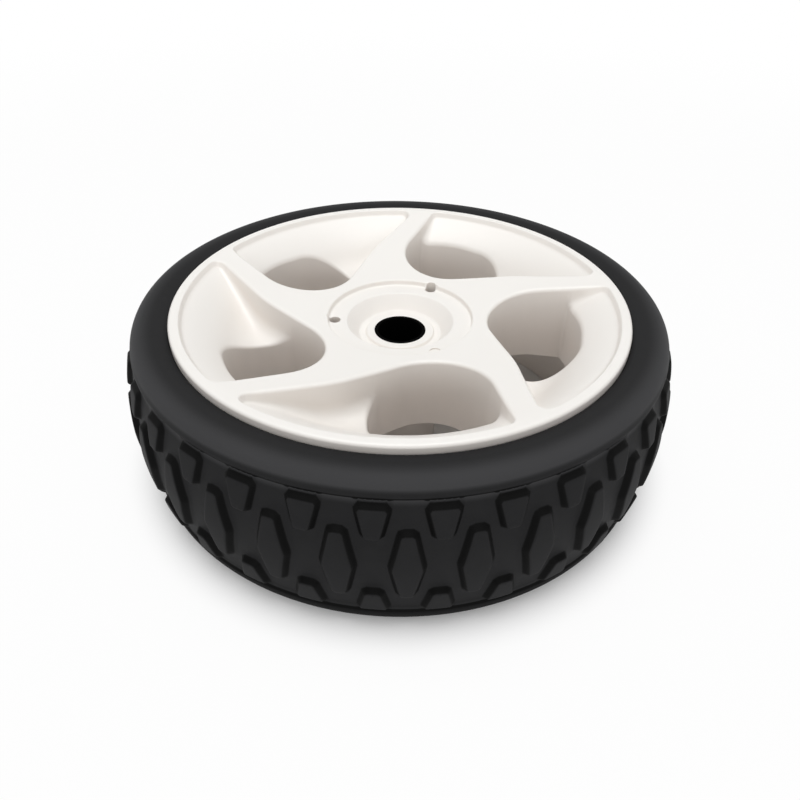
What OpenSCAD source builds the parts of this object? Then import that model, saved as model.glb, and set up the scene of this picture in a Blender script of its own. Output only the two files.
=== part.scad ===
// Small spoked utility wheel lying on its back face.
// The axis runs along +Z, z = 0 is the back face and the dished face looks up.

/* [Tyre] */
// Diameter over the tread blocks at the middle of the tread
tyre_d = 204; // [190:1:230]
// Width of the wheel from back face to front face
wheel_w = 64; // [56:1:75]
// Radius of the crown of the tread across its width
crown_r = 87; // [70:1:200]
// Height of the tread blocks over the ground between them
block_h = 2.3; // [1:0.1:4]
// Depth of the shoulder's lower edge below the rim's face
shoulder_h = 6.8; // [5:0.1:12]
// Depth of the tyre's side ring below the rim's face
side_drop = 0.9; // [0.2:0.1:2]
// Depth of the tyre's side below the rim's face where it meets the rim
bead_drop = 3; // [1:0.1:4]
// Reach of the rounded shoulder, measured in from its lower edge
shoulder_in = 4.8; // [3:0.1:8]
// Distance of the shoulder's lower edge inside the crown of the blocks
shoulder_under = 0.7; // [0.2:0.1:1.5]
// Small step from the shoulder down to the ground between the blocks
edge_step = 0.8; // [0.3:0.1:1.5]
// Number of tread blocks in each row
block_count = 31; // [20:1:40]
// Turn of the tread about the axis, in degrees
tread_turn = -88.1; // [-180:0.1:180]

/* [Tread blocks] */
// Length of the top of an edge block
edge_block_l = 10; // [6:0.2:14]
// Distance from the shoulder to the top of an edge block
edge_block_gap = 3.2; // [2.5:0.1:5]
// Width of the top of an edge block near the shoulder, as a share of the spacing
edge_block_wide = 0.45; // [0.3:0.01:0.6]
// Width of the top of an edge block at its inner end, as a share of the spacing
edge_block_narrow = 0.22; // [0.1:0.01:0.4]
// Length of the top of a centre block, across the tread
centre_block_l = 27; // [18:0.5:32]
// Width of the top of a centre block at its middle, as a share of the spacing
centre_block_wide = 0.45; // [0.3:0.01:0.6]
// Width of the top of a centre block at its ends, as a share of the spacing
centre_block_narrow = 0.19; // [0.1:0.01:0.35]
// Slope of the sides of the blocks, in degrees
block_draft = 30; // [10:1:35]

/* [Rim] */
// Diameter of the hub moulding at the two faces
rim_d = 168; // [160:1:176]
// Width of the flat ring round the face
land_w = 3.9; // [3:0.1:8]
// Rounding of the rim's outer edges
rim_round = 1.2; // [0.5:0.1:2.5]
// Small step from the flat ring down to the scoops
land_step = 1.7; // [0.5:0.1:3]
// Height of the flanges that hold the tyre
flange_h = 7; // [5:0.5:9]
// Depth of the channel that the tyre sits in
channel_deep = 4; // [2:0.5:5]
// Thickness of the rim wall behind the channel
rim_wall = 3.5; // [2.5:0.1:5]

/* [Spokes and scoops] */
// Depth of the dished face at the foot of the spokes
dish_deep = 7.8; // [3:0.1:10]
// Thickness of the face and of the scoop floors
skin = 3.5; // [2.5:0.1:5]
// Thickness of the walls round each scoop
scoop_wall = 2.8; // [2.7:0.1:3.5]
// Turn of the first scoop about the axis, in degrees
scoop_turn = 59.1; // [0:0.1:72]
// Angle of the scoop's straight side at the rim, from its own centre line
straight_angle = 20.4; // [17:0.1:22]
// Angle of the scoop's swept tip at the rim, from its own centre line
tip_angle = -44.7; // [-46:0.1:-40]
// Distance from the axis to the point where the scoop's sides would meet
neck_r = 31.2; // [30:0.1:34]
// Angle of that point from the scoop's centre line
neck_angle = 48.5; // [46:0.1:51]
// Radius of the scoop's round inner end
neck_round = 20; // [16:0.1:20]
// Distance from the axis to the bend in the scoop's swept side
bend_r = 52.3; // [50:0.1:55]
// Angle of that bend from the scoop's centre line
bend_angle = -27.7; // [-30:0.1:-26]
// Radius of that bend
bend_round = 60; // [20:1:70]
// Radius of the scoop's two corners at the rim
corner_round = 3; // [1:0.1:4]
// Depth of the scoop floor where it flattens
scoop_deep = 19; // [14:0.1:21]
// Depth of the scoop floor at the outer side of the hole
lip_deep = 9.8; // [8:0.1:13]
// Width of the gentle brow between the ledge and the steeper scoop floor
brow_w = 5.5; // [3:0.1:8]
// Depth of the scoop floor at the foot of the brow
brow_deep = 4.6; // [2.5:0.1:6]

/* [Through holes] */
// Distance from the axis to the outer side of a hole
hole_r = 67.6; // [62:0.1:70]
// Distance of the hole's swept side from the scoop's centre line
hole_side = 14.8; // [12:0.1:17]
// Radius of the hole's round corners on the swept side
hole_round = 15.5; // [8:0.1:16]
// Radius of the hole's corner beside the straight side
hole_corner = 4; // [2:0.1:6]
// Thickness of the walls round each hole
hole_wall = 2; // [1.5:0.1:2]
// Depth of the hole walls below the face ring
hole_deep = 34.5; // [28:0.5:45]

/* [Centre] */
// Radius of the shallow cap seat
cap_seat_r = 27.3; // [25:0.1:29]
// Depth of the cap seat below the dished face
cap_seat_deep = 2; // [1:0.1:3]
// Radius of the well at its mouth
well_r = 20.2; // [18:0.1:23]
// Radius of the well at its floor
well_floor_r = 15.7; // [15:0.1:19]
// Depth of the well below the cap seat
well_deep = 5.5; // [3:0.1:8]
// Outer radius of the boss round the axle bore
boss_r = 15; // [13:0.5:17]
// Height of the boss lip over the well floor
boss_lip = 1; // [0.5:0.1:2]
// Thickness of the ribs behind the hub
rib_t = 3; // [2:0.5:5]
// Height of the ribs' feet on the boss
rib_foot_z = 12; // [5:1:25]
// Distance from the axis to the outer end of the ribs
rib_end_r = 44; // [36:0.5:46]
// Angle of the ribs from the scoops' centre lines
rib_turn = 40; // [37:0.5:43]
// Radius of the axle bore in the bushing
bore_r = 8.5; // [6:0.1:9]
// Thickness of the bushing's wall
bushing_wall = 1.25; // [1:0.05:3]

/* [Cap clips] */
// Distance from the axis to the middle of the cap clip hole
clip_r = 24.8; // [24:0.1:26]
// Distance from the axis to the middle of the clip notch
notch_r = 26.6; // [25:0.1:27]
// Diameter of the cap clip holes
clip_d = 4.2; // [3:0.1:5]
// Turn of the clip notch about the axis, in degrees
clip_turn = 63; // [0:1:120]
// Angle from the notch to the hole, and from the hole to the mark, in degrees
clip_step = 119; // [100:1:140]
// Depth of the shallow third clip mark
mark_deep = 0.6; // [0.2:0.1:1.5]

/* [Hidden] */
$fn = 96;
scoop_count = 5;
pitch = 360 / scoop_count;
rim_r = rim_d / 2;
tyre_r = tyre_d / 2;
ledge_r = rim_r - land_w;
channel_r = rim_r - channel_deep;
barrel_r = channel_r - rim_wall;
bushing_r = bore_r + bushing_wall;
overlap = 1;

// Heights of the main levels of the hub
dish_foot_r = cap_seat_r;
seat_z = wheel_w - dish_deep - cap_seat_deep;
well_z = seat_z - well_deep;
boss_top = well_z + boss_lip;
hole_end_z = wheel_w - hole_deep;
scoop_floor_z = wheel_w - scoop_deep;

// The dished face falls from the flat ring to the foot of the spokes
function dish_share(r) = max(0, (ledge_r - r) / (ledge_r - dish_foot_r));
dish_bend = 0.15;
function face_z(r) =
    let (s = dish_share(r)) wheel_w - dish_deep * ((1 + dish_bend) * s - dish_bend * pow(s, 2));

// The scoop floor falls from the ledge over a brow, past the hole, and flattens near the hub.
// floor_run is its run inwards for each mm of fall, floor_bend lists shares of that run and fall
ledge_z = wheel_w - land_step;
brow_z = wheel_w - brow_deep;
lip_z = wheel_w - lip_deep;
floor_run = 1.6;
floor_bend = [[0, 0], [0.35, 0.55], [0.65, 0.86], [1, 1]];
flat_r = hole_r - floor_run * (lip_z - scoop_floor_z);
ledge_slope = (ledge_z - brow_z) / brow_w;
scoop_floor = concat(
    [[ledge_r + overlap, ledge_z + overlap * ledge_slope], [ledge_r - brow_w, brow_z]],
    [for (b = floor_bend) [hole_r - b[0] * (hole_r - flat_r), lip_z - b[1] * (lip_z - scoop_floor_z)]],
    [[neck_r, scoop_floor_z]]
);

// Outlines are lists of corners [x, y, radius], taken counter-clockwise
function polar(r, a) = [r * cos(a), r * sin(a)];
function corner(p, r) = [p[0], p[1], r];
function unit(v) = v / norm(v);
function left(v) = [-v[1], v[0]];
function at(c, i) = let (p = c[(i + len(c)) % len(c)]) [p[0], p[1]];
function way(c, i) = unit(at(c, i + 1) - at(c, i));
function turn(c, i) = let (u = way(c, i - 1), v = way(c, i)) atan2(u[0] * v[1] - u[1] * v[0], u * v);

// One corner as the points of its arc
arc_angle = 12;
function arc_step(t) = max(2, ceil(abs(t) / arc_angle));
function arc(c, i) =
    let (
        r = c[i][2],
        t = turn(c, i),
        s = sign(t),
        u = way(c, i - 1),
        start = at(c, i) - u * r * tan(abs(t) / 2),
        mid = start + left(u) * r * s,
        n = arc_step(t),
        first = atan2(start[1] - mid[1], start[0] - mid[0])
    )
    [for (k = [0 : n]) mid + polar(r, first + t * k / n)];
function rounded(c) = [for (i = [0 : len(c) - 1]) each c[i][2] > 0 ? arc(c, i) : [at(c, i)]];

// The same outline moved outwards by d
function grown_corner(c, i, d) =
    let (a = -left(way(c, i - 1)), b = -left(way(c, i)))
    at(c, i) + d * (a + b) / (1 + a * b);
function grown_round(c, i, d) = c[i][2] > 0 ? max(0.5, c[i][2] + d * sign(turn(c, i))) : 0;
function grown(c, d) = [for (i = [0 : len(c) - 1]) corner(grown_corner(c, i, d), grown_round(c, i, d))];

// The scoop: straight side, round inner end, swept side, tip and the arc along the rim
rim_steps = 14;
straight_corner = corner(polar(ledge_r, straight_angle), corner_round);
neck_corner = corner(polar(neck_r, neck_angle), neck_round);
bend_corner = corner(polar(bend_r, bend_angle), bend_round);
tip_corner = corner(polar(ledge_r, tip_angle), corner_round);
function rim_angle(k) = tip_angle + (straight_angle - tip_angle) * k / rim_steps;
scoop_outline = concat(
    [straight_corner, neck_corner, bend_corner, tip_corner],
    [for (k = [1 : rim_steps - 1]) corner(polar(ledge_r, rim_angle(k)), 0)]
);

// The hole takes the scoop's straight side and round inner end, a little wider than the scoop
function meet(p, u, q, v) = p + u * ((q - p)[0] * v[1] - (q - p)[1] * v[0]) / (u[0] * v[1] - u[1] * v[0]);
hole_over = 0.6;
hole_arc_share = 0.6;
wide = grown(scoop_outline, hole_over);
hole_top_x = sqrt(pow(hole_r, 2) - pow(at(wide, 0)[1], 2));
hole_top = meet(at(wide, 0), way(wide, 0), [hole_top_x, 0], [0, 1]);
hole_swept = meet(at(wide, 1), way(wide, 1), [0, -hole_side], [1, 0]);
hole_arc_y = hole_r * tan(atan2(hole_top[1], hole_top[0]) / 2);
hole_outline = [
    corner(hole_top, hole_corner),
    wide[1],
    corner(hole_swept, hole_round),
    [hole_r, -hole_side, hole_round],
    [hole_r, hole_arc_y, hole_arc_share * hole_r]
];

module around() {
    for (i = [0 : scoop_count - 1]) rotate(scoop_turn + i * pitch) children();
}

module prism(outline, z0, z1) {
    translate([0, 0, z0]) linear_extrude(z1 - z0) polygon(rounded(outline));
}

// The dished face as points from the flat ring inwards, lowered by d
face_steps = 8;
face_radii = [for (k = [0 : face_steps]) ledge_r + (dish_foot_r - ledge_r) * k / face_steps];
function face_line(d) = [for (r = face_radii) [r, face_z(r) - d]];
function reversed(list) = [for (i = [len(list) - 1 : -1 : 0]) list[i]];

// The rounded outer edge of the rim, from its lower face outwards
edge_steps = 5;
rim_edge = [
    for (k = [0 : edge_steps])
        let (a = 90 * k / edge_steps)
            [rim_r - rim_round * (1 - sin(a)), rim_round * (1 - cos(a))]
];

// Rim, face, cap seat, well and boss, all turned about the axis
module turned_body() {
    rotate_extrude()
        polygon(concat(
            [[barrel_r, 0]],
            rim_edge,
            [
                [rim_r, flange_h], [channel_r, flange_h],
                [channel_r, wheel_w - flange_h], [rim_r, wheel_w - flange_h]
            ],
            [for (p = reversed(rim_edge)) [p[0], wheel_w - p[1]]],
            face_line(0),
            [
                [cap_seat_r, seat_z], [well_r, seat_z], [well_floor_r, well_z],
                [bushing_r + skin, well_z], [bushing_r + skin - boss_lip, boss_top],
                [bushing_r, boss_top], [bushing_r, 0], [boss_r, 0], [boss_r, well_z - skin],
                [well_r + skin, well_z - skin], [well_r + skin, seat_z - skin],
                [cap_seat_r + skin / 2, seat_z - skin]
            ],
            [for (p = reversed(face_line(skin))) if (p[0] > cap_seat_r + skin && p[0] < barrel_r) p],
            [[barrel_r, face_z(barrel_r) - skin]]
        ));
}

// Floor and walls of the scoops, up to the middle of the face's thickness
module scoop_shells() {
    intersection() {
        rotate_extrude()
            polygon(concat(
                [[well_r, scoop_floor_z - skin]],
                [for (p = reversed(scoop_floor)) [p[0], p[1] - skin]],
                [[ledge_r + overlap, face_z(ledge_r) - skin / 2]],
                face_line(skin / 2),
                [[well_r, face_z(dish_foot_r) - skin / 2]]
            ));
        union() around() prism(grown(scoop_outline, scoop_wall), 0, wheel_w);
    }
}

// The space over the scoop floors
module above_scoop_floor() {
    rotate_extrude()
        polygon(concat(
            [[well_r, scoop_floor_z]],
            reversed(scoop_floor),
            [[ledge_r + overlap, wheel_w + overlap], [well_r, wheel_w + overlap]]
        ));
}

// The scoops with their through holes, as one cut
module windows() {
    intersection() {
        union() around() prism(scoop_outline, -overlap, wheel_w + overlap);
        union() {
            above_scoop_floor();
            around() prism(hole_outline, -2 * overlap, wheel_w + 2 * overlap);
        }
    }
}

// Gussets between the boss and the spokes, out of sight behind the hub
module ribs() {
    rib_line = [
        [boss_r - overlap, rib_foot_z], [rib_end_r, face_z(rib_end_r) - skin - rib_t],
        [rib_end_r, face_z(rib_end_r) - overlap], [cap_seat_r + overlap, face_z(cap_seat_r) - skin],
        [cap_seat_r, seat_z - overlap], [well_r + overlap, seat_z - overlap],
        [well_floor_r, well_z - overlap], [boss_r - overlap, well_z - overlap]
    ];
    around()
        rotate([90, 0, rib_turn])
            translate([0, 0, -rib_t / 2])
                linear_extrude(rib_t) polygon(rib_line);
}

module clip_hole(i, middle_r, floor_z) {
    rotate(clip_turn + i * clip_step)
        translate([middle_r, 0, floor_z])
            cylinder(h = wheel_w - floor_z, r = clip_d / 2);
}

module hub() {
    color("white")
        difference() {
            union() {
                turned_body();
                scoop_shells();
                around() prism(grown(hole_outline, hole_wall), hole_end_z, lip_z - overlap);
                ribs();
            }
            windows();
            clip_hole(0, notch_r, seat_z - skin - overlap);
            clip_hole(1, clip_r, seat_z - skin - overlap);
            clip_hole(2, clip_r, seat_z - mark_deep);
        }
}

// Tread: heights are measured from the middle of the width
function crown(h) = tyre_r - crown_r + sqrt(pow(crown_r, 2) - pow(h, 2));
tread_half = wheel_w / 2 - shoulder_h;
shoulder_r = crown(tread_half) - shoulder_under;
ground_edge_r = shoulder_r - edge_step;
ground_mid_r = tyre_r - block_h;
function ground(h) = ground_mid_r - (ground_mid_r - ground_edge_r) * pow(h / tread_half, 2);

// A quarter of the tyre's outside, from the face to the middle of the tread
shoulder_steps = 7;
ground_steps = 4;
shoulder = [
    for (k = [0 : shoulder_steps])
        let (a = 90 * k / shoulder_steps)
            [
                shoulder_r - shoulder_in * (1 - sin(a)),
                wheel_w / 2 - side_drop - (shoulder_h - side_drop) * (1 - cos(a))
            ]
];
half_ground = [
    for (k = [0 : ground_steps])
        let (h = (tread_half - edge_step) * (1 - k / (ground_steps + 0.5)))
            [ground(h), h]
];
half_outside = concat(shoulder, half_ground);

module carcass() {
    back = [for (p = reversed(half_outside)) [p[0], -p[1]]];
    in_h = wheel_w / 2 - flange_h;
    bead_h = wheel_w / 2 - bead_drop;
    translate([0, 0, wheel_w / 2])
        rotate_extrude()
            polygon(concat(
                [[rim_r, bead_h]], half_outside, back,
                [[rim_r, -bead_h], [rim_r, -in_h], [channel_r, -in_h], [channel_r, in_h], [rim_r, in_h]]
            ));
}

// A block from its outline, a list of [share of spacing, height], counter-clockwise seen from outside
spacing = 360 / block_count;
root = 1;
function block_point(p, r) = [r * cos(p[0] * spacing), r * sin(p[0] * spacing), p[1] + wheel_w / 2];
draft = (block_h + root) * tan(block_draft);
draft_share = draft / (spacing * PI / 180 * tyre_r);
function spread(p, c) = [p[0] + sign(p[0]) * draft_share, p[1] + sign(p[1] - c) * draft];
module block(outline) {
    n = len(outline);
    mid_h = (max([for (p = outline) p[1]]) + min([for (p = outline) p[1]])) / 2;
    top = [for (p = outline) block_point(p, crown(p[1]))];
    foot = [for (p = outline) let (q = spread(p, mid_h)) block_point(q, ground(abs(q[1])) - root)];
    polyhedron(
        concat(foot, top),
        concat(
            [[for (i = [0 : n - 1]) i]],
            [[for (i = [n - 1 : -1 : 0]) n + i]],
            [for (i = [0 : n - 1]) [i, n + i, n + (i + 1) % n, (i + 1) % n]]
        )
    );
}

edge_top_h = tread_half - edge_block_gap;
edge_outline = [
    [-edge_block_narrow / 2, edge_top_h - edge_block_l],
    [edge_block_narrow / 2, edge_top_h - edge_block_l],
    [edge_block_wide / 2, edge_top_h],
    [-edge_block_wide / 2, edge_top_h]
];
centre_outline = [
    [-centre_block_narrow / 2, -centre_block_l / 2],
    [centre_block_narrow / 2, -centre_block_l / 2],
    [centre_block_wide / 2, 0],
    [centre_block_narrow / 2, centre_block_l / 2],
    [-centre_block_narrow / 2, centre_block_l / 2],
    [-centre_block_wide / 2, 0]
];
function flipped(outline) = [for (p = reversed(outline)) [p[0], -p[1]]];

module tyre() {
    color([0.13, 0.13, 0.14])
        union() {
            carcass();
            for (i = [0 : block_count - 1]) {
                rotate(tread_turn + i * spacing) block(centre_outline);
                rotate(tread_turn + (i + 0.5) * spacing) block(edge_outline);
                rotate(tread_turn + (i + 0.5) * spacing) block(flipped(edge_outline));
            }
        }
}

module bushing() {
    color([0.05, 0.05, 0.05])
        difference() {
            cylinder(h = boss_top, r = bushing_r);
            translate([0, 0, -overlap]) cylinder(h = boss_top + 2 * overlap, r = bore_r);
        }
}

hub();
tyre();
bushing();
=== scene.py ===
# A small white spoked wheel with a black treaded tyre, lying on its back face.
import math
import bmesh
import bpy
import numpy as np
from mathutils import Matrix, Vector
from mathutils.geometry import delaunay_2d_cdt


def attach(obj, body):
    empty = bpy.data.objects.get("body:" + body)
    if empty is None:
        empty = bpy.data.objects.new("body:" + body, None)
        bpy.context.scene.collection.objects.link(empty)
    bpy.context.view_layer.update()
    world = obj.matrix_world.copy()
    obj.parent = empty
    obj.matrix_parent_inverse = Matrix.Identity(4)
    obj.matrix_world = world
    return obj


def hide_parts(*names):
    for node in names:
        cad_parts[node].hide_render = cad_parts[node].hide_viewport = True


print("stage: frame")
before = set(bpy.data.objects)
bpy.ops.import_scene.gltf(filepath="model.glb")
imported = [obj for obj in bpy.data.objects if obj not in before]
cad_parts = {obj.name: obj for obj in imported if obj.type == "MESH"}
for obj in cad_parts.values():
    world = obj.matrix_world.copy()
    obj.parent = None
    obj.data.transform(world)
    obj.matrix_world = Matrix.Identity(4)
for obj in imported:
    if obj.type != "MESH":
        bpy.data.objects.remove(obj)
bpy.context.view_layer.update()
mm = 0.001

# Sizes in millimetres, as in the part's source.
hubShape = {
    "width": 64.0,
    "rimRadius": 84.0,
    "rimRound": 1.2,
    "flange": 7.0,
    "channelRadius": 80.0,
    "landRadius": 81.7,
    "barrelRadius": 76.5,
    "ledgeRadius": 80.1,
    "skin": 3.5,
    "dishDeep": 7.8,
    "dishBend": 0.15,
    "floorLine": (
        (30, 19), (52.9, 19), (58, 17.7), (62.4, 14.9), (67.6, 9.8), (74.6, 4.6), (80.1, 1.7), (81.7, 0.9)),
    "scoops": 5,
    "scoopTurn": 59.1,
    "straight": (80.1, 20.4),
    "neck": (31.2, 48.5),
    "neckRound": 20.0,
    "bend": (52.3, -27.7),
    "bendRound": 60.0,
    "tip": (80.1, -44.7),
    "cornerRound": 3.0,
    "holeRadius": 67.6,
    "holeSide": 14.8,
    "holeRound": 15.5,
    "holeCorner": 4.0,
    "holeArc": 0.6,
    "holeEnd": 29.5,
    "holeWall": 2.0,
    "scoopWall": 2.8,
    "edgeRound": 1.5,
    "floorRound": 6.0,
    "lipRound": 1.3,
    "draft": 0.3,
    "spokeTurn": 46.0,
    "spokeSweep": 0.44,
    "ribTurn": 40,
    "ribThick": 3.0,
    "ribFoot": (14.5, 12),
    "ribEnd": 44,
    "ribEndDeep": 6.5,
}
centreShape = {
    "joinRadius": 30.0,
    "seatRadius": 27.3,
    "seat": 54.2,
    "wellRadius": 20.2,
    "wellFloorRadius": 15.7,
    "wellFloor": 48.7,
    "bossRadius": 15.0,
    "boreRing": 12.25,
    "boreTop": 49.7,
    "boreRadius": 9.75,
    "clipRadius": 2.1,
    "clips": ((26.6, 63.0), (24.8, 182.0)),
    "mark": (24.8, 301.0),
    "markDeep": 0.6,
}
tyreShape = {
    "radius": 102.0,
    "crown": 87.0,
    "blockHeight": 2.3,
    "blocks": 31,
    "turn": -88.1,
    "shoulderRadius": 97.57,
    "shoulderDeep": 6.8,
    "shoulderIn": 4.8,
    "sideDrop": 0.9,
    "beadDrop": 3.0,
    "sideCurve": ((90.4, 1.15), (88, 1.7), (86, 2.25), (84.9, 2.6), (84.3, 2.9)),
    "edgeStep": 0.8,
    "edgeBlock": (12.0, 22.0, 0.22, 0.45),
    "centreBlock": (13.5, 0.19, 0.45),
    "blockRound": 0.8,
    "blockFlank": (-0.5, 1.7),
}


def polar(radius, angle):
    return np.array((radius * math.cos(math.radians(angle)), radius * math.sin(math.radians(angle))))


def roundLine(corners, step, closed=True):
    # Corners (x, y, radius) become points: each corner an arc, straight runs between them.
    spots = [np.array(corner[:2], float) for corner in corners]
    line = []
    for i, corner in enumerate(corners):
        here = spots[i]
        if corner[2] == 0 or (not closed and i in (0, len(corners) - 1)):
            line.append(here)
            continue
        before = here - spots[i - 1]
        after = spots[(i + 1) % len(spots)] - here
        before /= np.linalg.norm(before)
        after /= np.linalg.norm(after)
        turn = math.atan2(before[0] * after[1] - before[1] * after[0], before @ after)
        start = here - before * corner[2] * math.tan(abs(turn) / 2)
        middle = start + np.array((-before[1], before[0])) * corner[2] * math.copysign(1, turn)
        first = math.atan2(start[1] - middle[1], start[0] - middle[0])
        steps = max(3, math.ceil(abs(turn) * corner[2] / step))
        for k in range(steps + 1):
            angle = first + turn * k / steps
            line.append(middle + corner[2] * np.array((math.cos(angle), math.sin(angle))))
    return np.array(line)


def evenly(line, step):
    # A closed line with its points about one step apart.
    loop = np.vstack((line, line[:1]))
    run = np.append(0, np.cumsum(np.hypot(*np.diff(loop, axis=0).T)))
    count = round(run[-1] / step)
    spots = run[-1] * np.arange(count) / count
    return np.column_stack((np.interp(spots, run, loop[:, 0]), np.interp(spots, run, loop[:, 1])))


def moved(line, distance):
    # A closed line moved outwards; it runs counter-clockwise.
    along = np.roll(line, -1, axis=0) - np.roll(line, 1, axis=0)
    along /= np.linalg.norm(along, axis=1)[:, None]
    return line + distance * np.column_stack((along[:, 1], -along[:, 0]))


def distanceTo(line, points):
    # Distance to a closed line, negative inside it.
    result = []
    start = line
    run = np.roll(line, -1, axis=0) - line
    length = (run ** 2).sum(1)
    for part in np.array_split(np.asarray(points), max(1, len(points) // 400)):
        offset = part[:, None] - start[None]
        share = np.clip((offset * run).sum(2) / length, 0, 1)
        near = np.linalg.norm(offset - share[..., None] * run, axis=2).min(1)
        above = start[None, :, 1] > part[:, None, 1]
        nextAbove = np.roll(above, -1, axis=1)
        rise = np.where(run[:, 1] == 0, 1, run[:, 1])
        cross = start[:, 0] + (part[:, None, 1] - start[:, 1]) / rise * run[:, 0]
        inside = ((above != nextAbove) & (part[:, None, 0] < cross)).sum(1) % 2
        result.append(np.where(inside == 1, -near, near))
    return np.concatenate(result)


def rounding(distance, radius):
    # How far a rounded edge of that radius has fallen at a distance from its foot.
    gap = np.clip(radius - distance, 0, radius)
    return radius - np.sqrt(radius ** 2 - gap ** 2)


def smooth(value):
    value = np.clip(value, 0, 1)
    return value * value * (3 - 2 * value)


class Shape:
    # Points and faces in millimetres, gathered for one mesh.
    def __init__(self):
        self.points = []
        self.faces = []

    def add(self, points, faces):
        start = len(self.points)
        self.points += [tuple(p) for p in points]
        self.faces += [tuple(start + i for i in face) for face in faces]

    def strip(self, first, second, closed=True):
        # Two rows of points with faces between; the outside is on the left of the first row.
        count = len(first)
        last = count if closed else count - 1
        faces = [(i, (i + 1) % count, count + (i + 1) % count, count + i) for i in range(last)]
        self.add(list(first) + list(second), faces)

    def rings(self, profile, angles):
        # A turned surface from a profile of (radius, height).
        rows = [[(*polar(r, a), z) for a in angles] for r, z in profile]
        for first, second in zip(rows, rows[1:]):
            self.strip(first, second)

    def fill(self, flat, heights, loops, keep, up=True):
        # A triangulated sheet through the points; loops are lists of point numbers along its borders.
        edges = [(a, b) for loop in loops for a, b in zip(loop, loop[1:] + loop[:1])]
        spots, _, faces, origins = delaunay_2d_cdt([Vector(p) for p in flat], edges, [], 0, 1e-5)[:4]
        level = [heights[origin[0]] if origin else math.nan for origin in origins]
        assert not any(math.isnan(z) for z in level), "a border crosses another"
        middle = np.array([sum((spots[i] for i in face), Vector((0, 0))) / 3 for face in faces])
        kept = [tuple(face) for face, good in zip(faces, keep(middle)) if good]
        if not up:
            kept = [face[::-1] for face in kept]
        self.add([(p.x, p.y, z) for p, z in zip(spots, level)], kept)

    def mesh(self, name):
        mesh = bpy.data.meshes.new(name)
        mesh.from_pydata([(x * mm, y * mm, z * mm) for x, y, z in self.points], [], self.faces)
        return mesh


def thinned(points, taken, gap):
    # Leaves out each point that lies closer than the gap to one already taken.
    cells = {}

    def near(p):
        cx, cy = int(p[0] // gap), int(p[1] // gap)
        around = [q for dx in (-1, 0, 1) for dy in (-1, 0, 1) for q in cells.get((cx + dx, cy + dy), ())]
        return any((p[0] - q[0]) ** 2 + (p[1] - q[1]) ** 2 < gap * gap for q in around)

    for p in taken:
        cells.setdefault((int(p[0] // gap), int(p[1] // gap)), []).append(p)
    kept = []
    for p in points:
        if not near(p):
            kept.append(p)
            cells.setdefault((int(p[0] // gap), int(p[1] // gap)), []).append(p)
    return kept


class Wire:
    # One socket's value, so that shader maths reads as a plain expression.
    def __init__(self, finish, socket):
        self.finish = finish
        self.socket = socket

    def math(self, operation, first, second):
        node = self.finish.add("ShaderNodeMath", {"operation": operation}, {0: first, 1: second})
        return Wire(self.finish, node.outputs[0])

    def __add__(self, other):
        return self.math("ADD", self, other)

    def __radd__(self, other):
        return self.math("ADD", other, self)

    def __sub__(self, other):
        return self.math("SUBTRACT", self, other)

    def __rsub__(self, other):
        return self.math("SUBTRACT", other, self)

    def __mul__(self, other):
        return self.math("MULTIPLY", self, other)

    def __rmul__(self, other):
        return self.math("MULTIPLY", other, self)

    def __pow__(self, other):
        return self.math("POWER", self, other)


class Finish:
    # A node material on a Principled shader.
    def __init__(self, name):
        self.material = bpy.data.materials.new(name)
        self.material.use_nodes = True
        self.tree = self.material.node_tree
        self.shader = self.tree.nodes["Principled BSDF"]
        self.place = Wire(self, self.add("ShaderNodeTexCoord").outputs["Object"])

    def add(self, kind, settings=None, inputs=None):
        node = self.tree.nodes.new(kind)
        for key, value in (settings or {}).items():
            setattr(node, key, value)
        for key, value in (inputs or {}).items():
            if isinstance(value, Wire):
                self.tree.links.new(value.socket, node.inputs[key])
            else:
                node.inputs[key].default_value = value
        return node

    def noise(self, scale, detail=3.0, roughness=0.5):
        node = self.add("ShaderNodeTexNoise", {}, {
            "Vector": self.place, "Scale": scale, "Detail": detail, "Roughness": roughness})
        return Wire(self, node.outputs["Fac"])

    def mix(self, share, first, second):
        node = self.add("ShaderNodeMix", {"data_type": "RGBA"}, {0: share, 6: first, 7: second})
        return Wire(self, node.outputs[2])

    def part(self, name):
        # One coordinate of the place on the piece, in millimetres.
        if "axes" not in self.__dict__:
            self.axes = self.add("ShaderNodeSeparateXYZ", {}, {0: self.place})
        return Wire(self, self.axes.outputs[name]) * 1000.0

    def slope(self):
        # How far the surface faces up or down.
        if "facing" not in self.__dict__:
            normal = Wire(self, self.add("ShaderNodeNewGeometry").outputs["Normal"])
            self.facing = self.add("ShaderNodeSeparateXYZ", {}, {0: normal})
        return Wire(self, self.facing.outputs["Z"])

    def radius(self):
        x, y = self.part("X"), self.part("Y")
        return (x * x + y * y) ** 0.5

    def ramp(self, value, low, high, first=0.0, second=1.0):
        node = self.add("ShaderNodeMapRange", {"interpolation_type": "SMOOTHSTEP"}, {
            "Value": value, "From Min": low, "From Max": high, "To Min": first, "To Max": second})
        return Wire(self, node.outputs[0])

    def bump(self, height, strength, distance):
        node = self.add("ShaderNodeBump", {}, {
            "Height": height, "Strength": strength, "Distance": distance})
        return Wire(self, node.outputs[0])

    def set(self, **values):
        for key, value in values.items():
            socket = self.shader.inputs[key.replace("_", " ")]
            if isinstance(value, Wire):
                self.tree.links.new(value.socket, socket)
            else:
                socket.default_value = value


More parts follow.
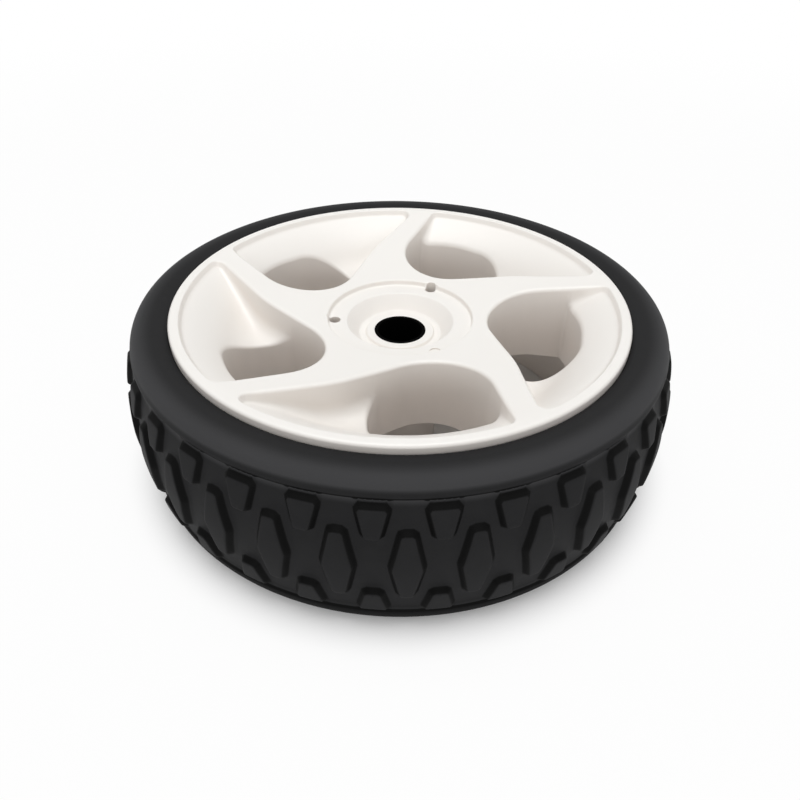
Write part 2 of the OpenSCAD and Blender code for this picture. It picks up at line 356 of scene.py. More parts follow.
print("stage: finishes")
hubLook = {
    "white": (0.93, 0.91, 0.875, 1),
    "shade": (0.90, 0.875, 0.835, 1),
    # painted warm shade for the hollows and upright walls, not a colour of the plastic
    "paintedWarmShade": (0.85, 0.785, 0.73, 1),
    "shadeHeights": (57.0, 36.0),
    "wallShare": 0.7,
    "roughness": 0.36,
    "grain": 0.05,
}
tyreLook = {
    "black": (0.011, 0.011, 0.0115, 1),
    "grey": (0.024, 0.024, 0.025, 1),
    # painted sheen: a lighter band on the shoulder in place of a reflection of the lamps
    "shoulder": (0.05, 0.05, 0.052, 1),
    "sheenFrom": 89.0,
    "sheenTo": 96.3,
    # painted shade: near black for the groove walls of the blocks and the shoulder step
    "flankShade": (0.003, 0.003, 0.003, 1),
    "flankShare": (0.04, 0.5),
    # painted shade: the rubber darkens towards the bottom, near the floor
    "foot": (14.0, 2.0),
    "roughness": 0.6,
    "grain": 0.15,
    "shine": 0.06,
}
bushLook = {
    "black": (0.0006, 0.0006, 0.0006, 1),
    "grey": (0.0014, 0.0014, 0.0014, 1),
    "roughness": 0.8,
    "shine": 0.02,
}


def hubFinish():
    # White moulded plastic: faint clouds, a fine grain, and a painted warm shade low in the hollows and on
    # upright walls.
    look = Finish("hubPlastic")
    cloud = look.noise(22.0, 3.0)
    grain = look.noise(1400.0, 3.0)
    plain = look.mix(cloud, hubLook["shade"], hubLook["white"])
    # Painted warm shade: it grows stronger lower down and on upright walls.
    high, deep = hubLook["shadeHeights"]
    low = look.ramp(look.part("Z"), deep, high, 1.0 - hubLook["wallShare"], 0.0)
    upright = 1.0 - look.slope().math("ABSOLUTE", look.slope(), 0.0)
    low = low + upright * hubLook["wallShare"]
    look.set(
        Base_Color=look.mix(low, plain, hubLook["paintedWarmShade"]),
        Roughness=hubLook["roughness"] + (cloud - 0.5) * 0.12 + (grain - 0.5) * 0.06,
        Normal=look.bump(grain, hubLook["grain"], 0.0002),
    )
    return look.material


def tyreFinish():
    # Moulded rubber: dusty grey tops and a fine grain, with painted shade on the block flanks and near the
    # floor, and a painted sheen on the shoulder.
    look = Finish("tyreRubber")
    cloud = look.noise(30.0, 4.0)
    dust = look.noise(240.0, 3.0)
    grain = look.noise(1800.0, 4.0)
    flankShade = Wire(look, look.add("ShaderNodeAttribute", {"attribute_name": "wall"}).outputs["Fac"])
    tone = look.mix(cloud * 0.6 + dust * 0.4, tyreLook["black"], tyreLook["grey"])
    # Painted sheen: a lighter band across the shoulder's radii, in place of a reflection of the lamps.
    sheenRising = look.ramp(look.radius(), tyreLook["sheenFrom"], tyreLook["sheenTo"])
    beyond = look.ramp(look.radius(), tyreLook["sheenTo"] + 0.6, tyreLook["sheenTo"] + 1.2)
    tone = look.mix(sheenRising * (1.0 - beyond) * (0.8 + cloud * 0.4), tone, tyreLook["shoulder"])
    # Painted shade: the rubber turns near black towards the bottom, near the floor.
    tone = look.mix(look.ramp(look.part("Z"), *tyreLook["foot"]), tone, tyreLook["flankShade"])
    look.set(
        # Painted shade: the block flanks and the shoulder step turn near black.
        Base_Color=look.mix(look.ramp(flankShade, *tyreLook["flankShare"]), tone, tyreLook["flankShade"]),
        Roughness=tyreLook["roughness"] + (cloud - 0.5) * 0.14 + (dust - 0.5) * 0.1,
        Normal=look.bump(grain, tyreLook["grain"], 0.0002),
        Specular_IOR_Level=tyreLook["shine"],
    )
    return look.material


def bushFinish():
    look = Finish("bushPlastic")
    grain = look.noise(900.0, 2.0)
    look.set(
        Base_Color=look.mix(grain, bushLook["black"], bushLook["grey"]),
        Roughness=bushLook["roughness"] + (grain - 0.5) * 0.1,
        Normal=look.bump(grain, 0.05, 0.0002),
        Specular_IOR_Level=bushLook["shine"],
    )
    return look.material


print("stage: hub")


def softened(line, rounds=3):
    # Cuts the corners of an open line into a smooth curve.
    for _ in range(rounds):
        near = line[:-1] * 0.75 + line[1:] * 0.25
        far = line[:-1] * 0.25 + line[1:] * 0.75
        line = np.vstack((line[:1], np.stack((near, far), axis=1).reshape(-1, 2), line[-1:]))
    return line


floorCurve = softened(np.array(hubShape["floorLine"], float))


def faceZ(radius):
    reach = hubShape["ledgeRadius"] - centreShape["seatRadius"]
    share = np.clip((hubShape["ledgeRadius"] - radius) / reach, 0, None)
    bend = hubShape["dishBend"]
    return hubShape["width"] - hubShape["dishDeep"] * ((1 + bend) * share - bend * share ** 2)


def floorZ(radius):
    return hubShape["width"] - np.interp(radius, floorCurve[:, 0], floorCurve[:, 1])


def way(corners, i):
    run = np.subtract(corners[(i + 1) % len(corners)][:2], corners[i][:2])
    return run / np.linalg.norm(run)


def meet(p, u, q, v):
    # Where two lines cross, each given by a point and a direction.
    gap = np.subtract(q, p)
    return np.add(p, np.multiply(u, (gap[0] * v[1] - gap[1] * v[0]) / (u[0] * v[1] - u[1] * v[0])))


def scoopCorners():
    rimSteps = 14
    low, high = hubShape["tip"][1], hubShape["straight"][1]
    turns = [low + (high - low) * k / rimSteps for k in range(1, rimSteps)]
    rim = [(*polar(hubShape["ledgeRadius"], turn), 0) for turn in turns]
    return [
        (*polar(*hubShape["straight"]), hubShape["cornerRound"]),
        (*polar(*hubShape["neck"]), hubShape["neckRound"]),
        (*polar(*hubShape["bend"]), hubShape["bendRound"]),
        (*polar(*hubShape["tip"]), hubShape["cornerRound"]),
    ] + rim


def holeCorners(corners):
    # The hole's straight side and inner end are the scoop's own, a little wider.
    over = 0.6
    side, outer = hubShape["holeSide"], hubShape["holeRadius"]
    wide = []
    for i in range(3):
        a, b = way(corners, i - 1), way(corners, i)
        left = np.array((a[1] + b[1], -a[0] - b[0]))
        turn = a[0] * b[1] - a[1] * b[0]
        spot = np.add(corners[i][:2], over * left / (1 + a @ b))
        wide.append((*spot, corners[i][2] + over * math.copysign(1, turn)))
    topX = math.sqrt(outer ** 2 - wide[0][1] ** 2)
    top = meet(wide[0][:2], way(wide, 0), (topX, 0), (0, 1))
    swept = meet(wide[1][:2], way(wide, 1), (0, -side), (1, 0))
    arcY = outer * math.tan(math.atan2(top[1], top[0]) / 2)
    return [
        (*top, hubShape["holeCorner"]), wide[1], (*swept, hubShape["holeRound"]),
        (outer, -side, hubShape["holeRound"]), (outer, arcY, hubShape["holeArc"] * outer),
    ]


def reach(centre, directions, line):
    # Distance from a centre to a closed line in each direction.
    start = line - centre
    run = np.roll(line, -1, axis=0) - line
    span = directions[:, :1] * run[:, 1] - directions[:, 1:] * run[:, 0]
    span = np.where(abs(span) < 1e-12, 1e-12, span)
    along = (start[:, 0] * run[:, 1] - start[:, 1] * run[:, 0]) / span
    share = (start[:, 0] * directions[:, 1:] - start[:, 1] * directions[:, :1]) / span
    return np.where((share >= 0) & (share < 1) & (along > 0), along, 1e9).min(1)


ringStep = 0.9
scoop = evenly(roundLine(scoopCorners(), 0.4), ringStep)
scoopFoot = moved(scoop, -hubShape["draft"])
holeLine = evenly(roundLine(holeCorners(scoopCorners()), 0.4), ringStep)
holeCentre = holeLine.mean(0)
allRound = np.radians(np.arange(0, 360, 0.75))
rays = np.column_stack((np.cos(allRound), np.sin(allRound)))
nearest = np.minimum(reach(holeCentre, rays, scoopFoot), reach(holeCentre, rays, holeLine))
hole = evenly(holeCentre + rays * nearest[:, None], ringStep)
tube = moved(hole, hubShape["holeWall"])


def sideAngle(radius):
    # The line along the middle of a spoke, where one fifth of the hub meets the next.
    start, sweep = hubShape["spokeTurn"], hubShape["spokeSweep"]
    return start - sweep * (min(radius, hubShape["barrelRadius"]) - centreShape["joinRadius"])


def fifthBorder(outer, outerSteps, innerSteps=24, sideStep=1.6):
    # Counter-clockwise round one fifth; the second result holds the numbers of the outer arc's points.
    fifth = 360 / hubShape["scoops"]
    inner = centreShape["joinRadius"]
    steps = round((outer - inner) / sideStep)
    radii = [inner + (outer - inner) * k / steps for k in range(steps + 1)]
    points = [polar(r, sideAngle(r) - fifth) for r in radii[:-1]]
    first = len(points)
    start = sideAngle(outer) - fifth
    points += [polar(outer, start + fifth * k / outerSteps) for k in range(outerSteps + 1)]
    arc = list(range(first, len(points)))
    points += [polar(r, sideAngle(r)) for r in radii[-2:0:-1]]
    points += [polar(inner, sideAngle(inner) - fifth * k / innerSteps) for k in range(innerSteps)]
    return np.array(points), arc


def honeycomb(border, step):
    low, high = border.min(0), border.max(0)
    rows = np.arange(low[1], high[1], step * math.sqrt(0.75))
    columns = np.arange(low[0], high[0], step)
    spots = [(x + step / 2 * (j % 2), y) for j, y in enumerate(rows) for x in columns]
    return np.array(spots)


def topHeight(points):
    radius = np.linalg.norm(points, axis=1)
    face, floor = faceZ(radius), floorZ(radius)
    deep = face - floor
    off = distanceTo(scoop, points)
    edge = np.minimum(hubShape["edgeRound"], 0.35 * deep)
    foot = np.minimum(hubShape["floorRound"], 0.5 * deep)
    upper = face - rounding(np.clip(off, 0, None), edge)
    lower = floor + rounding(np.clip(-off - hubShape["draft"], 0, None), foot)
    lower = lower - rounding(np.clip(distanceTo(hole, points), 0, None), hubShape["lipRound"])
    return np.where(off > -0.5 * hubShape["draft"], upper, lower)


def fifthTop(shape):
    border, _ = fifthBorder(hubShape["landRadius"], 48)
    ringGaps = (0.12, 0.3, 0.55, 0.9, 1.3, 1.75)
    free = [moved(scoop, d) for d in ringGaps]
    for depth in (0.2, 0.5, 0.95, 1.55, 2.3, 3.2, 4.3, 5.6):
        ring = moved(scoopFoot, -depth)
        free.append(ring[abs(distanceTo(scoopFoot, ring) + depth) < 0.03])
    free.append(scoopFoot)
    for d in (0.1, 0.28, 0.55, 0.9, 1.4):
        ring = moved(hole, d)
        free.append(ring[(distanceTo(scoopFoot, ring) < -0.1)])
    free = np.vstack(free)
    free = free[(distanceTo(border, free) < -0.3) & (distanceTo(hole, free) > 0.06)]
    fixed = np.vstack((border, scoop, hole))
    taken = thinned(free, fixed, 0.085)
    grid = honeycomb(border, 1.7)
    off = distanceTo(scoop, grid)
    clear = (distanceTo(border, grid) < -0.8) & (distanceTo(hole, grid) > 1.0) & (abs(off) > 0.6)
    taken += thinned(grid[clear], list(fixed) + taken, 1.05)
    flat = np.vstack((fixed, taken))
    counts = np.cumsum((0, len(border), len(scoop), len(hole)))
    loops = [list(range(a, b)) for a, b in zip(counts, counts[1:])]
    heights = topHeight(flat)
    shape.fill(flat, heights, loops, lambda m: (distanceTo(border, m) < 0) & (distanceTo(hole, m) > 0))
    holeTop = heights[loops[2]]
    return holeTop


def backHeight(points):
    radius = np.linalg.norm(points, axis=1)
    face, floor = faceZ(radius) - hubShape["skin"], floorZ(radius) - hubShape["skin"]
    share = smooth(distanceTo(scoop, points) - hubShape["scoopWall"] + 1.0)
    share = np.maximum(share, smooth((centreShape["joinRadius"] + 1.0 - radius) / 0.9))
    level = floor + (face - floor) * share
    return level - rounding(np.clip(distanceTo(tube, points), 0, None), 0.8)


def fifthBack(shape):
    border, arc = fifthBorder(hubShape["barrelRadius"], 48)
    free = [moved(scoop, hubShape["scoopWall"] - d) for d in (1.1, 0.85, 0.65, 0.5, 0.35, 0.15, -0.1)]
    free += [moved(tube, d) for d in (0.12, 0.35, 0.8)]
    free = np.vstack(free)
    free = free[(distanceTo(border, free) < -0.3) & (distanceTo(tube, free) > 0.08)]
    fixed = np.vstack((border, tube))
    taken = thinned(free, fixed, 0.1)
    grid = honeycomb(border, 2.6)
    clear = (distanceTo(border, grid) < -1.2) & (distanceTo(tube, grid) > 1.2)
    taken += thinned(grid[clear], list(fixed) + taken, 1.5)
    flat = np.vstack((fixed, taken))
    loops = [list(range(len(border))), list(range(len(border), len(fixed)))]
    heights = backHeight(flat)
    inside = lambda m: (distanceTo(border, m) < 0) & (distanceTo(tube, m) > 0)
    shape.fill(flat, heights, loops, inside, up=False)
    barrelTop = [(*border[i], heights[i]) for i in arc]
    shape.strip(barrelTop, [(x, y, hubShape["holeEnd"]) for x, y, _ in barrelTop], closed=False)
    return heights[loops[1]]


def ribShape(shape):
    # A plate between the boss and the spoke, its upper edge inside the face.
    deep, half = hubShape["skin"] / 2, hubShape["ribThick"] / 2
    foot, footZ = hubShape["ribFoot"]
    end = hubShape["ribEnd"]
    seat, floor = centreShape["seat"] - deep, centreShape["wellFloor"] - deep
    line = [
        (foot, footZ), (end, faceZ(end) - hubShape["ribEndDeep"]), (end, faceZ(end) - deep),
        (28, faceZ(28) - deep), (25, seat), (24, floor), (foot, floor)]
    along, across = polar(1, hubShape["ribTurn"]), polar(1, hubShape["ribTurn"] + 90)
    sides = [[(*(along * r + across * t), z) for r, z in line] for t in (-half, half)]
    shape.strip(sides[1], sides[0])
    last = len(shape.points) - len(line)
    first = last - len(line)
    shape.faces.append(tuple(range(first, last)))
    shape.faces.append(tuple(range(last + len(line) - 1, last - 1, -1)))


clipSteps = 24


def hubFifth():
    shape = Shape()
    holeTop = fifthTop(shape)
    tubeTop = fifthBack(shape)
    end = hubShape["holeEnd"]
    topRow = [(*p, z) for p, z in zip(hole, holeTop)]
    shape.strip(topRow, [(*p, end + 0.4) for p in hole])
    shape.strip([(*p, end + 0.4) for p in hole], [(*p, end) for p in moved(hole, 0.4)])
    shape.strip([(*p, end) for p in moved(hole, 0.4)], [(*p, end) for p in moved(tube, -0.4)])
    shape.strip([(*p, end) for p in moved(tube, -0.4)], [(*p, end + 0.4) for p in tube])
    shape.strip([(*p, end + 0.4) for p in tube], [(*p, z) for p, z in zip(tube, tubeTop)])
    ribShape(shape)
    return shape.mesh("hubFifth")


def clipCircle(radius, angle):
    around = np.radians(np.arange(clipSteps) * 360 / clipSteps)
    circle = np.column_stack((np.cos(around), np.sin(around)))
    return polar(radius, angle) + centreShape["clipRadius"] * circle


def seatSheet(shape, profile, angles, up):
    # The ring between the well and the face, with the clip holes in it.
    order = np.argsort(profile[:, 0], kind="stable")
    radii, levels = profile[order, 0], profile[order, 1]
    outer, inner = centreShape["joinRadius"], radii[0]
    rows = [r for r in dict.fromkeys(radii.round(4)) if inner + 0.05 < r < outer - 0.05]
    border = [polar(outer, a) for a in angles] + [polar(inner, a) for a in angles]
    clips = [clipCircle(*clip) for clip in centreShape["clips"]]
    if up:
        clips.append(clipCircle(*centreShape["mark"]))
    fixed = np.vstack([np.array(border)] + clips)
    free = [polar(r, a) for r in rows for a in angles]
    free = [p for p in free if all(distanceTo(line, [p])[0] > 0.45 for line in clips)]
    free += [p for clip in clips for p in moved(clip, 0.25)]
    flat = np.vstack((fixed, thinned(free, fixed, 0.05)))
    count = len(angles)
    starts = [0, count] + [2 * count + clipSteps * k for k in range(len(clips) + 1)]
    loops = [list(range(a, b)) for a, b in zip(starts, starts[1:])]
    heights = np.interp(np.linalg.norm(flat, axis=1), radii, levels)
    if up:
        heights[2 * count:len(fixed)] -= 0.15

    def keep(middle):
        radius = np.linalg.norm(middle, axis=1)
        clear = np.all([distanceTo(line, middle) > 0 for line in clips], axis=0)
        return clear & (radius < outer) & (radius > inner * 0.9995)

    shape.fill(flat, heights, loops, keep, up)
    return [[(*flat[i], heights[i]) for i in loop] for loop in loops[2:]]


def hubCentre():
    shape = Shape()
    size = centreShape
    join = size["joinRadius"]
    angles = [hubShape["scoopTurn"] + sideAngle(join) + 3 * k for k in range(120)]
    seat, well, skin = size["seat"], size["wellFloor"], hubShape["skin"]
    split = 21.6
    face = [(r, faceZ(r)) for r in (join, 29.3, 28.6)]
    step = roundLine([
        (28.3, faceZ(28.3), 0), (size["seatRadius"], faceZ(size["seatRadius"]), 0.7),
        (size["seatRadius"] - 0.15, seat, 0.7), (25.6, seat, 0)], 0.15, closed=False)
    flats = [(r, seat) for r in (24.6, 23.6, 22.6, split)]
    top = np.array(face + [tuple(p) for p in step] + flats)
    topClips = seatSheet(shape, top, angles, up=True)
    under = np.array([(split, well - skin), (22.4, well - skin)] + [tuple(p) for p in roundLine([
        (22.8, well - skin, 0), (23.2, well - skin, 0.4), (24.2, seat - skin, 0.8), (25.4, seat - skin, 0)],
        0.3, closed=False)] + [(27, seat - skin)] + [tuple(p) for p in roundLine([
            (28, seat - skin, 0), (29.0, seat - skin, 0.8), (join, faceZ(join) - skin, 0)],
            0.3, closed=False)])
    underClips = seatSheet(shape, under, angles, up=False)
    for upper, lower in zip(topClips, underClips):
        shape.strip(upper, lower)
    floor = [(x, y, seat - size["markDeep"]) for x, y, _ in topClips[2]]
    shape.strip(topClips[2], floor)
    shape.add(floor, [tuple(range(len(floor)))])
    bore, boss = size["boreRadius"], size["bossRadius"]
    inside = roundLine([
        (split, seat, 0), (size["wellRadius"], seat, 0.9), (size["wellFloorRadius"], well, 1.2),
        (size["boreRing"] + 1, well, 0.5), (size["boreRing"] + 0.5, size["boreTop"], 0.5),
        (bore, size["boreTop"], 0.25), (bore, 0, 0.25), (boss, 0, 0.4), (boss, well - skin, 0.8),
        (split, well - skin, 0)], 0.3, closed=False)
    shape.rings(inside, angles)
    return shape.mesh("hubCentre")


def hubRim():
    shape = Shape()
    size = hubShape
    barrel, channel = size["barrelRadius"], size["channelRadius"]
    rim, width = size["rimRadius"], size["width"]
    turn = size["scoopTurn"] + sideAngle(barrel)
    angles = [turn + 1.5 * k for k in range(240)]
    line = roundLine([
        (barrel, size["holeEnd"], 0), (barrel, 0, 0.4), (rim, 0, size["rimRound"]), (rim, size["flange"], 0),
        (channel, size["flange"], 0), (channel, width - size["flange"], 0), (rim, width - size["flange"], 0),
        (rim, width, size["rimRound"]), (size["landRadius"], width, 0)], 0.25, closed=False)
    shape.rings(line, angles)
    return shape.mesh("hubRim")


def repeatTree():
    # Puts copies of the incoming mesh round the axis.
    tree = bpy.data.node_groups.new("repeatRound", "GeometryNodeTree")
    sockets = tree.interface
    sockets.new_socket("Mesh", in_out="INPUT", socket_type="NodeSocketGeometry")
    names = {"Copies": "NodeSocketInt", "First turn": "NodeSocketFloat", "Finish": "NodeSocketMaterial"}
    made = {name: sockets.new_socket(name, in_out="INPUT", socket_type=kind) for name, kind in names.items()}
    sockets.new_socket("Mesh", in_out="OUTPUT", socket_type="NodeSocketGeometry")

    def add(kind, **settings):
        node = tree.nodes.new(kind)
        for key, value in settings.items():
            setattr(node, key, value)
        return node

    start, end = add("NodeGroupInput"), add("NodeGroupOutput")
    points = add("GeometryNodePoints")
    index = add("GeometryNodeInputIndex")
    share = add("ShaderNodeMath", operation="DIVIDE")
    angle = add("ShaderNodeMath", operation="MULTIPLY_ADD")
    angle.inputs[1].default_value = 2 * math.pi
    turn = add("ShaderNodeCombineXYZ")
    place = add("GeometryNodeInstanceOnPoints")
    solid = add("GeometryNodeRealizeInstances")
    paint = add("GeometryNodeSetMaterial")
    for source, target in (
            (start.outputs["Copies"], points.inputs["Count"]),
            (index.outputs[0], share.inputs[0]),
            (start.outputs["Copies"], share.inputs[1]),
            (share.outputs[0], angle.inputs[0]),
            (start.outputs["First turn"], angle.inputs[2]),
            (angle.outputs[0], turn.inputs["Z"]),
            (points.outputs[0], place.inputs["Points"]),
            (start.outputs["Mesh"], place.inputs["Instance"]),
            (turn.outputs[0], place.inputs["Rotation"]),
            (place.outputs[0], solid.inputs[0]),
            (solid.outputs[0], paint.inputs["Geometry"]),
            (start.outputs["Finish"], paint.inputs["Material"]),
            (paint.outputs[0], end.inputs[0])):
        tree.links.new(source, target)
    return tree, {name: socket.identifier for name, socket in made.items()}


roundTree, roundInputs = repeatTree()


def repeated(mesh, copies, turn, finish):
    # The mesh repeated round the axis, as one plain mesh.
    helper = bpy.data.objects.new("helper", mesh)
    bpy.context.scene.collection.objects.link(helper)
    maker = helper.modifiers.new("repeat", "NODES")
    maker.node_group = roundTree
    maker[roundInputs["Copies"]] = copies
    maker[roundInputs["First turn"]] = math.radians(turn)
    maker[roundInputs["Finish"]] = finish
    ready = helper.evaluated_get(bpy.context.evaluated_depsgraph_get())
    result = bpy.data.meshes.new_from_object(ready)
    helper.modifiers.remove(maker)
    bpy.data.objects.remove(helper)
    return result


def joined(name, meshes, finish, sharp):
    # One closed piece from meshes that share their border points.
    work = bmesh.new()
    for mesh in meshes:
        work.from_mesh(mesh)
    bmesh.ops.remove_doubles(work, verts=work.verts, dist=0.004 * mm)
    bmesh.ops.dissolve_degenerate(work, edges=work.edges, dist=0.001 * mm)
    loose = sum(1 for edge in work.edges if len(edge.link_faces) != 2)
    volume = round(work.calc_volume() * 1e6, 2)
    print(name, len(work.faces), "faces, open or shared edges:", loose, "volume", volume, "ml")
    mesh = bpy.data.meshes.new(name)
    work.to_mesh(mesh)
    work.free()
    for face in mesh.polygons:
        face.material_index = 0
    mesh.materials.clear()
    mesh.materials.append(finish)
    mesh.shade_smooth()
    mesh.set_sharp_from_angle(angle=math.radians(sharp))
    piece = bpy.data.objects.new(name, mesh)
    bpy.context.scene.collection.objects.link(piece)
    return piece


hubPaint = hubFinish()
hubMeshes = [repeated(hubFifth(), hubShape["scoops"], hubShape["scoopTurn"], hubPaint), hubCentre(), hubRim()]
hub = joined("wheelHub", hubMeshes, hubPaint, 40)

print("stage: tyre")
tyreHalf = hubShape["width"] / 2
treadHalf = tyreHalf - tyreShape["shoulderDeep"]
cellWidth = 2 * math.pi * tyreShape["radius"] / tyreShape["blocks"]


def blockLines():
    # The tops of the blocks in one cell, as closed lines of (distance round the tyre, height).
    bend = tyreShape["blockRound"]
    low, high, narrow, wide = tyreShape["edgeBlock"]
    a, b = narrow * cellWidth / 2, wide * cellWidth / 2
    edge = [(-a, low, bend), (a, low, bend), (b, high, bend), (-b, high, bend)]
    tall, narrow, wide = tyreShape["centreBlock"]
    a, b = narrow * cellWidth / 2, wide * cellWidth / 2
    middle = [
        (-a, -tall, bend), (a, -tall, bend), (b, 0, 2 * bend),
        (a, tall, bend), (-a, tall, bend), (-b, 0, 2 * bend)]
    lines = [evenly(roundLine(middle, 0.4), 1.1)]
    line = evenly(roundLine(edge, 0.4), 1.1)
    for side in (-0.5, 0.5):
        shift = np.array((side * cellWidth, 0))
        lines.append(line + shift)
        lines.append((line * (1, -1))[::-1] + shift)
    return lines


treadLines = blockLines()


def relief(points):
    # 1 on the blocks, 0 between them.
    off = np.min([distanceTo(line, points) for line in treadLines], axis=0)
    near, far = tyreShape["blockFlank"]
    return 1 - smooth((off - near) / (far - near))


def stepUp(height):
    # The ground rises to the shoulder's edge over a short way.
    reach = 1.5 * tyreShape["edgeStep"]
    return smooth((abs(height) - treadHalf + reach) / reach)


def treadRadius(points):
    height = points[:, 1]
    bow = tyreShape["crown"]
    crown = tyreShape["radius"] - bow + np.sqrt(bow ** 2 - height ** 2)
    middle = tyreShape["radius"] - tyreShape["blockHeight"]
    edge = tyreShape["shoulderRadius"] - tyreShape["edgeStep"]
    ground = middle - (middle - edge) * (height / treadHalf) ** 2
    ground = ground + (tyreShape["shoulderRadius"] - ground) * stepUp(height)
    return ground + (crown - ground) * relief(points)


def treadCell():
    shape = Shape()
    half = cellWidth / 2
    across = [half * (k / 5 - 1) for k in range(11)]
    up = (
        0, 3, 6, 8, 9.3, 10.3, 10.75, 11.2, 11.6, 12, 12.5, 14, 16, 18,
        20, 21.5, 22, 22.4, 22.8, 23.3, 23.8, 24.1, 24.4, 24.8)
    heights = [-h for h in up[:0:-1]] + list(up)
    border = [(u, -treadHalf) for u in across] + [(half, h) for h in heights]
    border += [(u, treadHalf) for u in across[::-1]] + [(-half, h) for h in heights[::-1]]
    border = np.array(border)
    flankSteps = (-1.1, -0.5, -0.1, 0.3, 0.7, 1.1, 1.4, 1.75)
    free = np.vstack([moved(line, d) for line in treadLines for d in flankSteps])
    levels = (treadHalf - 0.4, treadHalf - 0.8, treadHalf - 1.2)
    rows = [(u, s * h) for u in across[1:-1] for h in levels for s in (-1, 1)]
    free = np.vstack((free, rows))
    inside = (abs(free[:, 0]) < half - 0.25) & (abs(free[:, 1]) < treadHalf - 0.25)
    taken = thinned(free[inside], border, 0.25)
    grid = honeycomb(border, 2.2)
    inside = (abs(grid[:, 0]) < half - 1.0) & (abs(grid[:, 1]) < treadHalf - 1.8)
    taken += thinned(grid[inside], list(border) + taken, 1.3)
    flat = np.vstack((border, taken))
    radius = treadRadius(flat)
    start = len(shape.points)
    shape.fill(flat, list(range(len(flat))), [list(range(len(border)))], lambda m: m[:, 0] < 1e9)
    solid = []
    for u, h, i in shape.points[start:]:
        angle = u / tyreShape["radius"]
        solid.append((radius[i] * math.cos(angle), radius[i] * math.sin(angle), h + tyreHalf))
    shape.points[start:] = solid
    return shape.mesh("treadCell")


def tyreBody():
    shape = Shape()
    size = tyreShape
    rim, channel, flange = hubShape["rimRadius"], hubShape["channelRadius"], hubShape["flange"]
    crest = size["shoulderRadius"] - size["shoulderIn"]
    drop, deep = size["sideDrop"], size["shoulderDeep"]
    steps = 14
    side = []
    for k in range(steps + 1):
        angle = math.pi / 2 * k / steps
        out = crest + size["shoulderIn"] * math.cos(angle)
        side.append((out, treadHalf + (deep - drop) * math.sin(angle)))
    side += [(r, tyreHalf - d) for r, d in size["sideCurve"]]
    side.append((rim, tyreHalf - size["beadDrop"] - 0.4))
    side += [(rim, tyreHalf - flange), (channel, tyreHalf - flange)]
    line = side + [(r, -h) for r, h in side[::-1]]
    turn = size["turn"] - 180 / size["blocks"]
    count = size["blocks"] * 10
    shape.rings([(r, h + tyreHalf) for r, h in line], [turn + 360 * k / count for k in range(count)])
    return shape.mesh("tyreBody")


def markPaintedShade(mesh):
    # An attribute for the painted shade, 1 on the flanks of the blocks and the edge of the shoulder.
    spots = np.empty(len(mesh.vertices) * 3)
    mesh.vertices.foreach_get("co", spots)
    spots = spots.reshape(-1, 3) / mm
    height = spots[:, 2] - tyreHalf
    angle = np.degrees(np.arctan2(spots[:, 1], spots[:, 0])) - tyreShape["turn"]
    spacing = 360 / tyreShape["blocks"]
    along = ((angle + spacing / 2) % spacing - spacing / 2) / spacing * cellWidth
    flat = np.column_stack((along, height))
    block, edge = relief(flat), stepUp(height)
    wall = 4 * block * (1 - block) + 4 * edge * (1 - edge)
    wall[(abs(height) > treadHalf) | (np.hypot(spots[:, 0], spots[:, 1]) < 90)] = 0
    marks = mesh.attributes.new("wall", "FLOAT", "POINT")
    marks.data.foreach_set("value", np.clip(wall, 0, 1).astype(np.float32))


tyrePaint = tyreFinish()
tyreMeshes = [repeated(treadCell(), tyreShape["blocks"], tyreShape["turn"], tyrePaint), tyreBody()]
tyre = joined("wheelTyre", tyreMeshes, tyrePaint, 50)
markPaintedShade(tyre.data)

print("stage: pieces")
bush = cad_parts["bushing"].data
bush.materials.clear()
bush.materials.append(bushFinish())
for piece, node, slot in ((hub, "hub", "hub_plastic"), (tyre, "tyre", "tyre_rubber")):
    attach(piece, "root")
    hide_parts(node)

print("stage: camera")
cameraView = {
    "place": (0.00042, -0.2314, 0.19459),
    "elevation": 37.767,
    "roll": 0.913,
    "focalPixels": 706.49,
    "imagePixels": 800,
    "sensor": 36.0,
}


def addCamera(view):
    data = bpy.data.cameras.new("camera")
    data.sensor_width = view["sensor"]
    data.lens = view["focalPixels"] / view["imagePixels"] * view["sensor"]
    data.clip_start = 0.01
    camera = bpy.data.objects.new("camera", data)
    tilt = math.radians(view["elevation"])
    back = Vector((0, -math.cos(tilt), math.sin(tilt)))
    side = Vector((1, 0, 0))
    up = Vector((0, math.sin(tilt), math.cos(tilt)))
    roll = math.radians(view["roll"])
    right = side * math.cos(roll) + up * math.sin(roll)
    top = up * math.cos(roll) - side * math.sin(roll)
    turn = Matrix((right, top, back)).transposed().to_4x4()
    camera.matrix_world = Matrix.Translation(view["place"]) @ turn
    bpy.context.scene.collection.objects.link(camera)
    bpy.context.scene.camera = camera


addCamera(cameraView)

print("stage: floor and light")
studio = {
    "floorHalf": 3.0,
    "floorColour": (0.93, 0.93, 0.93, 1),
    "floorGlow": 0.92,
    "floorNear": (88.0, 112.0),
    "floorFar": (250.0, 900.0),
    "worldStrength": 0.4,
    "keySize": 0.7,
    "keyPower": 6.8,
    "keyPlace": (-0.05, 0.0, 1.1),
    "frontSize": 0.5,
    "frontPower": 2.8,
    "frontPlace": (0.1, -1.2, 0.3),
}


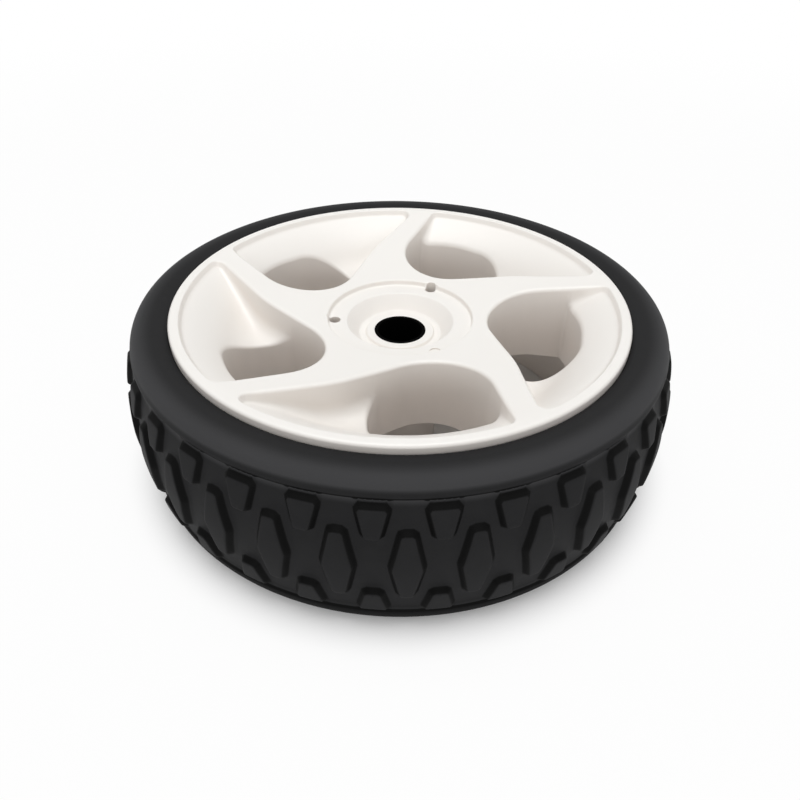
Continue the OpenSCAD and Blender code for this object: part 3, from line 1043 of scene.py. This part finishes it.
def addFloor():
    half = studio["floorHalf"]
    mesh = bpy.data.meshes.new("floor")
    mesh.from_pydata([(-half, -half, 0), (half, -half, 0), (half, half, 0), (-half, half, 0)],
                     [], [(0, 1, 2, 3)])
    floor = bpy.data.objects.new("floor", mesh)
    bpy.context.scene.collection.objects.link(floor)
    look = Finish("floorPaint")
    look.set(Base_Color=studio["floorColour"], Roughness=0.8)
    path = look.add("ShaderNodeLightPath").outputs
    seen = Wire(look, path["Is Camera Ray"]) + Wire(look, path["Is Glossy Ray"])
    seen = look.ramp(seen + Wire(look, path["Is Transmission Ray"]), 0.0, 1.0)
    clear = look.ramp(look.radius(), *studio["floorNear"], 0.0, studio["floorGlow"])
    clear = clear + look.ramp(look.radius(), *studio["floorFar"], 0.0, 1.0 - studio["floorGlow"])
    glow = look.add("ShaderNodeEmission", {}, {"Color": (1, 1, 1, 1), "Strength": 1.0})
    blend = look.add("ShaderNodeMixShader", {}, {0: seen * clear})
    look.tree.links.new(look.shader.outputs[0], blend.inputs[1])
    look.tree.links.new(glow.outputs[0], blend.inputs[2])
    look.tree.links.new(blend.outputs[0], look.tree.nodes["Material Output"].inputs["Surface"])
    mesh.materials.append(look.material)


def addWorld():
    world = bpy.data.worlds.new("studio")
    world.use_nodes = True
    tree = world.node_tree
    lit = tree.nodes["Background"]
    lit.inputs["Color"].default_value = (1, 1, 1, 1)
    lit.inputs["Strength"].default_value = studio["worldStrength"]
    shown = tree.nodes.new("ShaderNodeBackground")
    shown.inputs["Color"].default_value = (1, 1, 1, 1)
    shown.inputs["Strength"].default_value = 1.0
    path = tree.nodes.new("ShaderNodeLightPath")
    seen = path.outputs["Is Camera Ray"]
    for name in ("Is Glossy Ray", "Is Transmission Ray"):
        either = tree.nodes.new("ShaderNodeMath")
        either.operation = "MAXIMUM"
        tree.links.new(seen, either.inputs[0])
        tree.links.new(path.outputs[name], either.inputs[1])
        seen = either.outputs[0]
    blend = tree.nodes.new("ShaderNodeMixShader")
    tree.links.new(seen, blend.inputs[0])
    tree.links.new(lit.outputs[0], blend.inputs[1])
    tree.links.new(shown.outputs[0], blend.inputs[2])
    tree.links.new(blend.outputs[0], tree.nodes["World Output"].inputs["Surface"])
    bpy.context.scene.world = world


def addLamp(name, place, size, power):
    data = bpy.data.lights.new(name, "AREA")
    data.size = size
    data.energy = power
    lamp = bpy.data.objects.new(name, data)
    lamp.location = place
    lamp.rotation_euler = (-Vector(place)).to_track_quat("-Z", "Y").to_euler()
    bpy.context.scene.collection.objects.link(lamp)


addFloor()
addWorld()
addLamp("keyLamp", studio["keyPlace"], studio["keySize"], studio["keyPower"])
addLamp("frontLamp", studio["frontPlace"], studio["frontSize"], studio["frontPower"])
bpy.context.scene.view_settings.view_transform = "Standard"

print("stage: finish")
